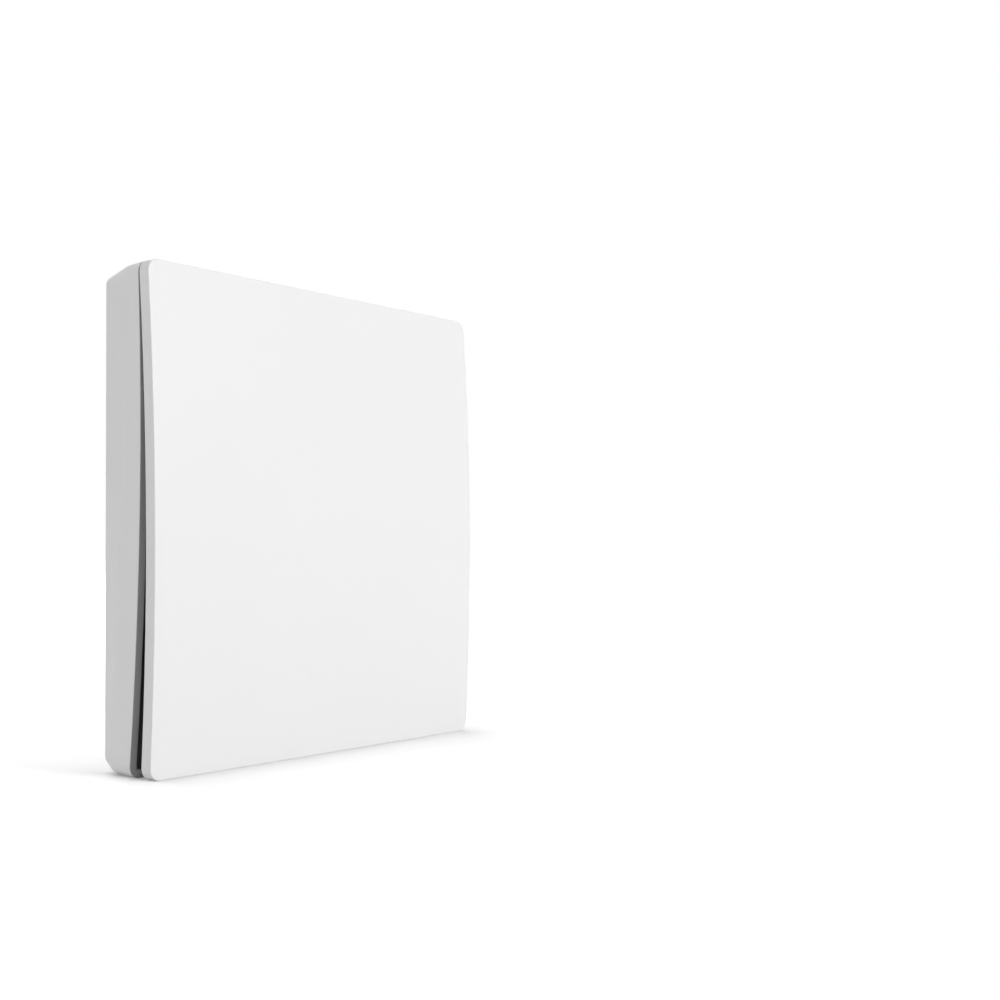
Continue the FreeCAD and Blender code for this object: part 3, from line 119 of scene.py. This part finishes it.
# The floor's sizes and distances are in metres. Its foot is the strip under the switch.
FLOOR_HEIGHT = size_at_load[0][2]
FLOOR_WIDTH = 6
FOOT_MIDDLE = (0.0, 0.00785, 0.0)    # takes the middle of the foot to the origin
FOOT_HALF = (0.0408, 0.00455, 1.0)   # half the size of the foot, where the lift is least
SIDE_FADE = (3.5, 1.0, 1.0)          # the shade ends sooner beside the foot than before it
SHADE_REACH = 0.05                   # how far the contact shade goes from the foot
FOOT_LIFT = 0.3                      # the share of the lift left at the foot
SHADE_LIFTS = (                      # shares of that way, each with its share of the lift
    (0.05, 0.38), (0.08, 0.52), (0.13, 0.66), (0.27, 0.79), (0.49, 0.89))
PAPER_LIFT = 0.6                     # the lift just past the shade, up to 1 further out
LIFT_START, LIFT_END = 0.1, 0.5      # between these distances it rises to 1

bpy.ops.object.select_all(action="DESELECT")
bpy.ops.mesh.primitive_plane_add(size=FLOOR_WIDTH, location=(0, 0, FLOOR_HEIGHT))
floor = bpy.context.object
floor.name = "studio_floor"
bpy.ops.object.transform_apply()


def new_material(name):
    """An empty material, its nodes, and the Object coordinates that its patterns read."""
    material = bpy.data.materials.new(name)
    material.use_nodes = True
    tree = material.node_tree
    tree.nodes.clear()
    return material, tree, add_node(tree, "TexCoord").outputs["Object"]


# The paper is matt, and it looks white because it also shines, as far as the camera and
# reflections can tell. It shines less close to the foot of the switch, which paints a
# contact shade there on top of the real shadow.
floor_paper, tree, spot = new_material("matt_white_paper")
offset = add_node(tree, "VectorMath", {0: spot, 1: FOOT_MIDDLE}, operation="ADD")
apart = add_node(tree, "VectorMath", {0: offset}, operation="ABSOLUTE")
beyond = add_node(tree, "VectorMath", {0: apart, 1: FOOT_HALF}, operation="SUBTRACT")
outside = add_node(tree, "VectorMath", {0: beyond, 1: (0.0, 0.0, 0.0)},
                   operation="MAXIMUM")
wider = add_node(tree, "VectorMath", {0: outside, 1: SIDE_FADE}, operation="MULTIPLY")
reach = add_node(tree, "VectorMath", {0: wider}, operation="LENGTH").outputs["Value"]
# Painted shade: the floor's own light is least at the foot and rises over SHADE_REACH.
near = add_node(tree, "MapRange", {"Value": reach, "From Max": SHADE_REACH})
shade = add_node(tree, "ValToRGB", {0: near})
shade.color_ramp.elements[0].color = (FOOT_LIFT, FOOT_LIFT, FOOT_LIFT, 1.0)
for part, level in SHADE_LIFTS:
    shade.color_ramp.elements.new(part).color = (level, level, level, 1.0)
far = add_node(tree, "MapRange", {"Value": reach, "From Min": LIFT_START,
                                  "From Max": LIFT_END, "To Min": PAPER_LIFT})
fade = add_node(tree, "Math", {0: shade, 1: far}, operation="MULTIPLY")
lifted = add_node(tree, "Math", {0: background_share(tree), 1: fade},
                  operation="MULTIPLY")
paper = add_node(tree, "BsdfPrincipled", {
    "Base Color": linear("dcdcdc"), "Roughness": 0.9, "Specular IOR Level": 0.1})
glow = add_node(tree, "Emission", {"Color": linear("ffffff"), "Strength": lifted})
both = add_node(tree, "AddShader", {0: paper, 1: glow})
add_node(tree, "OutputMaterial", {"Surface": both})
floor.data.materials.append(floor_paper)
bpy.ops.object.select_all(action="DESELECT")


# Wall plate. A flat plate moulded in white ABS, screwed to the wall through its two
# slotted holes. It is hidden in use, so its mould has a coarser grain than the rocker's.
def scale_of(size_mm):
    """The scale that gives a pattern features of a size in mm."""
    return 1000 / size_mm


def uneven(tree, pattern, hex_colour, change):
    """A colour that a pattern makes darker and lighter by a share of itself."""
    darker, lighter = ([min(1.0, c * (1 + sign * change)) for c in linear(hex_colour)[:3]]
                       + [1.0] for sign in (-1, 1))
    return add_node(tree, "Mix", {0: pattern, 6: darker, 7: lighter},
                    data_type="RGBA").outputs[2]


def give_finish(tree, colour, dullness, relief, constants, span=(0.3, 0.7)):
    """Shader with a colour, a dullness, a relief and the sockets that are constant. The
    dullness is a pattern and the roughness at both ends of its span, where most of a
    noise lies. The relief is a pattern, its height in mm and its strength."""
    pattern, low, high = dullness
    rough = add_node(tree, "MapRange", {"Value": pattern, "From Min": span[0],
                                        "From Max": span[1], "To Min": low, "To Max": high})
    height, height_mm, strength = relief
    bump = add_node(tree, "Bump", {"Height": height, "Distance": height_mm / 1000,
                                   "Strength": strength})
    shader = add_node(tree, "BsdfPrincipled", {
        "Base Color": colour, "Roughness": rough, "Normal": bump, **constants})
    add_node(tree, "OutputMaterial", {"Surface": shader})


def moulded_plastic(name, hex_colour, roughness, grain_mm, tone=0.012, inner=()):
    """Plastic from a spark-eroded mould: matt, with a faint sheen, and very slightly
    uneven in tone where it flowed. The real grain is under a tenth of a millimetre, and
    is drawn coarser so that it shows. inner pairs functions that find inside surfaces
    with the darker colour painted there as shade."""
    material, tree, place = new_material(name)
    grain = add_node(tree, "TexNoise", {"Vector": place, "Scale": scale_of(grain_mm),
                                        "Detail": 3.0, "Roughness": 0.6})
    flow = add_node(tree, "TexNoise", {"Vector": place, "Scale": scale_of(28)})
    colour = uneven(tree, flow, hex_colour, tone)
    # Painted shade: inside surfaces that lie in shade are given a darker colour.
    for find, painted_shade_hex in inner:
        colour = add_node(tree, "Mix", {0: find(tree, place), 6: colour,
                                        7: linear(painted_shade_hex)}, data_type="RGBA").outputs[2]
    give_finish(tree, colour, (grain, roughness - 0.05, roughness + 0.05),
                (grain, 0.004, 0.35), {"IOR": 1.53})
    return material


def dress(material, *nodes):
    """Give CAD nodes their material."""
    for node in nodes:
        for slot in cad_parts[node].material_slots:
            slot.material = material


dress(moulded_plastic("moulded_white_abs", "e8e8e7", 0.5, 0.6), "wall_plate")


# Inner cover. A lid moulded in grey ABS closes the electronics from behind, held by four
# small screws. Its tone is a little less even than that of the plates seen in use.
dress(moulded_plastic("moulded_grey_abs", "c3c5c6", 0.46, 0.5, tone=0.02), "inner_cover")


# Cover gasket. A frame of pale silicone foam lies in the groove behind the lid. Fine
# pores in its skin make it dull and slightly rough.
def soft_rubber(name, hex_colour, pore_mm, pore_depth_mm):
    """Silicone with a dull skin and small pores, drawn about twice as wide as they are
    so that they show."""
    material, tree, place = new_material(name)
    pores = add_node(tree, "TexVoronoi", {"Vector": place, "Scale": scale_of(pore_mm)})
    skin = add_node(tree, "TexNoise", {"Vector": place, "Scale": scale_of(1.8),
                                       "Detail": 3.0})
    give_finish(tree, uneven(tree, skin, hex_colour, 0.06), (skin, 0.68, 0.82),
                (pores, pore_depth_mm, 0.5), {"IOR": 1.43})
    return material


dress(soft_rubber("silicone_foam", "d9d9d4", 0.25, 0.03), "cover_gasket")


# Cover screws. Four small cross-recessed screws are cold headed, thread rolled and
# zinc plated, with a clear bluish passivation that varies in patches.
def bright_metal(name, hex_colour, roughness, patch_mm, change, mark_depth_mm=0.003):
    """Bright metal, with soft patches of tone from its plating or its die over fine
    marks. The marks are drawn three times as coarse as they are, so that they show."""
    material, tree, place = new_material(name)
    patches = add_node(tree, "TexNoise", {"Vector": place, "Scale": scale_of(patch_mm),
                                          "Detail": 3.0})
    marks = add_node(tree, "TexNoise", {"Vector": place, "Scale": scale_of(0.25)})
    give_finish(tree, uneven(tree, patches, hex_colour, change),
                (patches, roughness - 0.06, roughness + 0.08),
                (marks, mark_depth_mm, 0.3), {"Metallic": 1.0})
    return material


dress(bright_metal("zinc_plated_steel", "c4c8cc", 0.3, 1.2, 0.1), "cover_screws")


# Housing. It is moulded in white ASA with a fine spark-eroded grain, so the collar and
# the tapered back are matt with a faint sheen. The front of the rim is painted light grey
# and the recess behind the rocker dark grey: painted shade, for the shade in the gap.
# Painted shade: the rim's front and the recess get these darker greys in place of the shade
# that falls there behind the rocker.
RIM_PAINTED_SHADE = "dcdcdc"
RIM_FROM = 0.0085      # the rim's front is further out from the wall than this
SQUARE_ON = 0.8        # and faces the room at least as squarely as this
RECESS_PAINTED_SHADE = "7c7c7c"
RECESS_HALF = 0.04152  # the recess is within this distance of the middle, up and across
RECESS_FLOOR = 0.0068  # and further out from the wall than this


def depth_and_facing(tree, place):
    """How far a point is towards the wall, and how squarely its surface faces the wall.
    Both are below zero in front of the wall and on what faces the room."""
    normal = add_node(tree, "NewGeometry").outputs["Normal"]
    return [add_node(tree, "SeparateXYZ", {0: vector}).outputs["Y"]
            for vector in (place, normal)]


def within(tree, place, half):
    """One less than half away from the middle of the switch, both up and across."""
    parts = add_node(tree, "SeparateXYZ", {0: place}).outputs
    across = add_node(tree, "Math", {0: parts["X"]}, operation="ABSOLUTE")
    up = add_node(tree, "Math", {0: parts["Z"]}, operation="ABSOLUTE")
    further = add_node(tree, "Math", {0: across, 1: up}, operation="MAXIMUM")
    return add_node(tree, "Math", {0: further, 1: half}, operation="LESS_THAN")


def rim_front(tree, place):
    """One on the narrow front face of the rim, where shade is painted."""
    depth, facing = depth_and_facing(tree, place)
    far_out = add_node(tree, "Math", {0: depth, 1: -RIM_FROM}, operation="LESS_THAN")
    square = add_node(tree, "Math", {0: facing, 1: -SQUARE_ON}, operation="LESS_THAN")
    return add_node(tree, "Math", {0: far_out, 1: square}, operation="MULTIPLY")


def recess(tree, place):
    """One in the recess inside the rim, where shade is painted."""
    depth, _ = depth_and_facing(tree, place)
    far_out = add_node(tree, "Math", {0: depth, 1: -RECESS_FLOOR}, operation="LESS_THAN")
    return add_node(tree, "Math", {0: within(tree, place, RECESS_HALF), 1: far_out},
                    operation="MULTIPLY")


dress(moulded_plastic("spark_eroded_white_asa", "f4f4f4", 0.5, 0.35, inner=(
    (rim_front, RIM_PAINTED_SHADE), (recess, RECESS_PAINTED_SHADE))), "housing")


# Generator frame. Black nylon with glass fibres is moulded to carry the coil and the
# bearings of the armature. Fibres near the skin show as short pale flecks.
def filled_plastic(name, hex_colour, fleck_hex, roughness):
    """Plastic with glass fibres that lie along the flow, across the switch. They are
    drawn ten times as thick as they are, or they would not show."""
    material, tree, place = new_material(name)
    flow = add_node(tree, "Mapping", {"Vector": place, "Scale": (1.0, 4.0, 4.0)})
    fibres = add_node(tree, "TexNoise", {"Vector": flow, "Scale": scale_of(0.5),
                                         "Detail": 4.0, "Roughness": 0.7})
    flecks = add_node(tree, "MapRange", {"Value": fibres, "From Min": 0.6,
                                         "From Max": 0.72, "To Max": 0.5})
    colour = add_node(tree, "Mix", {0: flecks, 6: linear(hex_colour), 7: linear(fleck_hex)},
                      data_type="RGBA").outputs[2]
    give_finish(tree, colour, (fibres, roughness - 0.06, roughness + 0.06),
                (fibres, 0.006, 0.35), {"IOR": 1.55})
    return material


dress(filled_plastic("glass_filled_nylon", "1d1d1f", "3a3b3d", 0.42), "generator_frame")


# Core and pole plates. They are stamped from soft iron sheet and annealed, so they are
# dull grey and lightly mottled, with faint rolling lines along the sheet.
def lined_metal(name, hex_colour, roughness, line_scale, change=0.04):
    """Bare metal with fine lines, which run where line_scale is smallest, and clouds of
    tone. The lines are 0.2 mm wide, a few times coarser than real, so that they show."""
    material, tree, place = new_material(name)
    along = add_node(tree, "Mapping", {"Vector": place, "Scale": line_scale})
    lines = add_node(tree, "TexNoise", {"Vector": along, "Scale": scale_of(0.6),
                                        "Detail": 3.0, "Roughness": 0.6})
    clouds = add_node(tree, "TexNoise", {"Vector": place, "Scale": scale_of(1.6),
                                         "Detail": 4.0})
    give_finish(tree, uneven(tree, clouds, hex_colour, change),
                (lines, roughness - 0.05, roughness + 0.07),
                (lines, 0.004, 0.35), {"Metallic": 1.0})
    return material


dress(lined_metal("annealed_soft_iron", "8d8f90", 0.4, (1.0, 3.0, 3.0), 0.12), "core",
      "front_pole_plate", "rear_pole_plate")


# Coil bobbin. A thin-walled spool of black liquid-crystal polymer is moulded round the
# upper leg of the core. Its skin is smoother and shinier than that of the frame.
dress(filled_plastic("liquid_crystal_polymer", "232326", "4a4a4c", 0.36), "coil_bobbin")


# Winding and leads. Enamelled copper wire is wound in close layers along the spool, and
# its two ends run down to the board. The enamel is a clear amber coat over the metal.
WAVE_SCALE = 314.16  # a wave node of this scale repeats every millimetre


def enamelled_copper(name, wire_mm):
    """Copper wire under amber enamel, its turns side by side along X, with painted shade as
    dark lines between them. The wire is drawn twice as thick as it is, so that its turns
    show."""
    material, tree, place = new_material(name)
    turns = add_node(tree, "TexWave", {
        "Vector": place, "Scale": WAVE_SCALE / wire_mm, "Distortion": 0.4,
        "Detail": 1.0}, bands_direction="X").outputs["Fac"]
    # Painted shade: the copper is darker in the grooves between the turns.
    colour = add_node(tree, "Mix", {0: turns, 6: linear("7d3a1c"), 7: linear("c9773f")},
                      data_type="RGBA").outputs[2]
    give_finish(tree, colour, (turns, 0.4, 0.25), (turns, 0.03, 0.8),
                {"Metallic": 1.0, "Coat Weight": 0.8, "Coat Roughness": 0.15},
                span=(0.0, 1.0))
    return material


dress(enamelled_copper("enamelled_coil_copper", 0.2), "coil_winding")
dress(enamelled_copper("enamelled_lead_copper", 0.3), "coil_leads")


# Magnet. A sintered block between the pole plates, nickel plated against rust. The
# plating is bright and smooth, with a trace of the ground surface below it.
dress(bright_metal("nickel_plated_magnet", "c9c5bb", 0.16, 2.5, 0.05, 0.0015), "magnet")


# Magnet carrier. Natural acetal is moulded round the magnet and turns on its two
# trunnions. It is slightly waxy and lets a little light in.
def waxy_acetal(name, hex_colour):
    """Acetal: pale, smooth and faintly translucent."""
    material, tree, place = new_material(name)
    cloud = add_node(tree, "TexNoise", {"Vector": place, "Scale": scale_of(3.0)})
    skin = add_node(tree, "TexNoise", {"Vector": place, "Scale": scale_of(0.3)})
    give_finish(tree, uneven(tree, cloud, hex_colour, 0.03), (cloud, 0.3, 0.38),
                (skin, 0.003, 0.3), {
                    "IOR": 1.48, "Subsurface Weight": 0.15, "Subsurface Scale": 1.0,
                    "Subsurface Radius": (0.0006, 0.0006, 0.0005)})
    return material


dress(waxy_acetal("natural_acetal", "e3e2da"), "magnet_carrier")


# Lever leaf. A strip of stainless spring steel is held in the carrier and bends a
# little before the magnet snaps over. It is rolled along its length, and fairly bright.
dress(lined_metal("rolled_spring_steel", "b4b5b5", 0.24, (3.0, 3.0, 0.3)), "lever_leaf")


# Circuit board. Glass-fibre laminate under green solder resist. Copper tracks and the
# weave show through the resist, and the sawn edges show bare straw-coloured laminate.
WEAVE_MM = 0.5
TRACK_MM = 0.8
TRACK_GAP_MM = 0.14
TRACK_LENGTH_MM = 6.4
TRACK_STAGGER = 0.37
QUARTER_TURN = 1.5708


def laminate_under_resist(name):
    """Green resist on the two faces, straw-coloured laminate on the edges. The tracks
    are drawn twice as wide as they are, so that they show."""
    material, tree, place = new_material(name)
    warp, weft = (add_node(tree, "TexWave", {
        "Vector": place, "Scale": WAVE_SCALE / WEAVE_MM}, bands_direction=axis)
        .outputs["Fac"] for axis in ("X", "Z"))
    cloth = add_node(tree, "Math", {0: warp, 1: weft}, operation="MULTIPLY")
    upright = add_node(tree, "Mapping", {"Vector": place,
                                         "Rotation": (QUARTER_TURN, 0.0, 0.0)})
    tracks = add_node(tree, "TexBrick", {
        "Vector": upright, "Scale": scale_of(1), "Brick Width": TRACK_LENGTH_MM,
        "Row Height": TRACK_MM, "Mortar Size": TRACK_GAP_MM, "Color1": linear("0c4a2b"),
        "Color2": linear("1d7a4a"), "Mortar": linear("0b4427")}, offset=TRACK_STAGGER)
    weave = add_node(tree, "MapRange", {"Value": cloth, "To Max": 0.18})
    resist = add_node(tree, "Mix", {0: weave, 6: tracks, 7: linear("2a6b45")},
                      data_type="RGBA").outputs[2]
    _, facing = depth_and_facing(tree, place)
    square = add_node(tree, "Math", {0: facing}, operation="ABSOLUTE")
    flat = add_node(tree, "MapRange", {"Value": square, "From Min": 0.4, "From Max": 0.6})
    colour = add_node(tree, "Mix", {0: flat, 6: linear("b9a468"), 7: resist},
                      data_type="RGBA").outputs[2]
    give_finish(tree, colour, (flat, 0.75, 0.28), (tracks, 0.035, 0.6), {"IOR": 1.51},
                span=(0.0, 1.0))
    return material


dress(laminate_under_resist("laminate_under_resist"), "circuit_board")


# Radio chip, bridge rectifier and voltage regulator. Their black epoxy packages are
# transfer moulded, dull on top from the eroded mould, with fine silica grains.
def moulded_epoxy(name, hex_colour):
    """Black moulding compound with filler grains, drawn coarser than they are so that
    they show."""
    material, tree, place = new_material(name)
    grains = add_node(tree, "TexNoise", {"Vector": place, "Scale": scale_of(0.25),
                                         "Roughness": 0.7})
    give_finish(tree, uneven(tree, grains, hex_colour, 0.3), (grains, 0.5, 0.64),
                (grains, 0.004, 0.4), {"IOR": 1.56})
    return material


dress(moulded_epoxy("moulded_epoxy", "232426"), "radio_chip", "bridge_rectifier",
      "voltage_regulator")


# Crystal. A quartz plate sits in a ceramic tray under a welded lid of nickel-iron
# sheet, brushed before it is plated, so it is bright with lines across.
dress(lined_metal("brushed_nickel_iron", "c2c0b8", 0.28, (0.3, 3.0, 3.0)), "crystal")


# Storage capacitors. Layered ceramic blocks, fired to a warm tan, hold the charge of
# one press while the radio sends. They have a satin surface and faint clouds.
def fired_ceramic(name, hex_colour):
    """Dense ceramic. Its layers are drawn far thicker than they are, so that a trace of
    them shows at the sides."""
    material, tree, place = new_material(name)
    cloud = add_node(tree, "TexNoise", {"Vector": place, "Scale": scale_of(0.9),
                                        "Detail": 4.0})
    layers = add_node(tree, "TexWave", {
        "Vector": place, "Scale": WAVE_SCALE / 0.25, "Distortion": 0.2},
        bands_direction="Y").outputs["Fac"]
    give_finish(tree, uneven(tree, cloud, hex_colour, 0.09), (cloud, 0.34, 0.46),
                (layers, 0.002, 0.3), {"IOR": 1.7})
    return material


dress(fired_ceramic("fired_ceramic", "b08a5f"), "storage_capacitors")


# Antenna wire. A single stranded wire in a red extruded PVC sleeve, bent up beside the
# generator compartment and tuned by its length. The sleeve is smooth.
def extruded_pvc(name, hex_colour):
    """PVC with faint drag lines along the wire, drawn coarser than real to show."""
    material, tree, place = new_material(name)
    along = add_node(tree, "Mapping", {"Vector": place, "Scale": (2.0, 2.0, 0.2)})
    lines = add_node(tree, "TexNoise", {"Vector": along, "Scale": scale_of(0.5)})
    give_finish(tree, uneven(tree, lines, hex_colour, 0.08), (lines, 0.32, 0.42),
                (lines, 0.004, 0.3), {"IOR": 1.54})
    return material


dress(extruded_pvc("extruded_red_pvc", "8f1f1c"), "antenna_wire")


# Hinge pins. Two steel pins are pressed into the lugs of the housing, and the hooks of
# the rocker snap over them. They are ground, which leaves fine bright lines round them.
dress(lined_metal("ground_steel", "c8c9ca", 0.18, (3.0, 0.3, 0.3)), "hinge_pin_left",
      "hinge_pin_right")


# Return springs. Each is wound from drawn stainless wire round its hinge pin, and its
# legs lift the rocker back to rest. The die leaves the wire bright and even.
dress(bright_metal("drawn_spring_wire", "a9abac", 0.26, 0.8, 0.04),
      "return_spring_left", "return_spring_right")


# Bump stops. Two discs of soft silicone are cast, glued to the floor of the housing,
# and quiet the end of the press. Their skin is dull.
dress(soft_rubber("cast_silicone", "dadad6", 0.4, 0.015), "bump_stops")


# Rocker plate. It is moulded in the same white ASA as the housing, with a finer grain
# and a little more sheen, and clips on to the hinge pins. Its back is painted grey as
# shade.
# Painted shade: the parts behind the plate get this grey in place of the shade in the gap.
BACK_PAINTED_SHADE = "b2b2b2"
BACK_HALF = 0.04    # the parts behind the plate are within this distance of the middle
BACK_FROM = 0.0129  # and nearer to the wall than this
TURNED_BACK = 0.5   # or they face the wall at least as squarely as this


def rocker_back(tree, place):
    """One on the plate's face towards the wall, and on its skirt, ribs and hooks, where
    shade is painted.
    """
    depth, facing = depth_and_facing(tree, place)
    near_wall = add_node(tree, "Math", {0: depth, 1: -BACK_FROM}, operation="GREATER_THAN")
    behind = add_node(tree, "Math", {0: within(tree, place, BACK_HALF), 1: near_wall},
                      operation="MULTIPLY")
    turned = add_node(tree, "Math", {0: facing, 1: TURNED_BACK}, operation="GREATER_THAN")
    return add_node(tree, "Math", {0: behind, 1: turned}, operation="MAXIMUM")


dress(moulded_plastic("fine_eroded_white_asa", "f4f4f4", 0.48, 0.3, inner=(
    (rocker_back, BACK_PAINTED_SHADE),)), "rocker_panel")
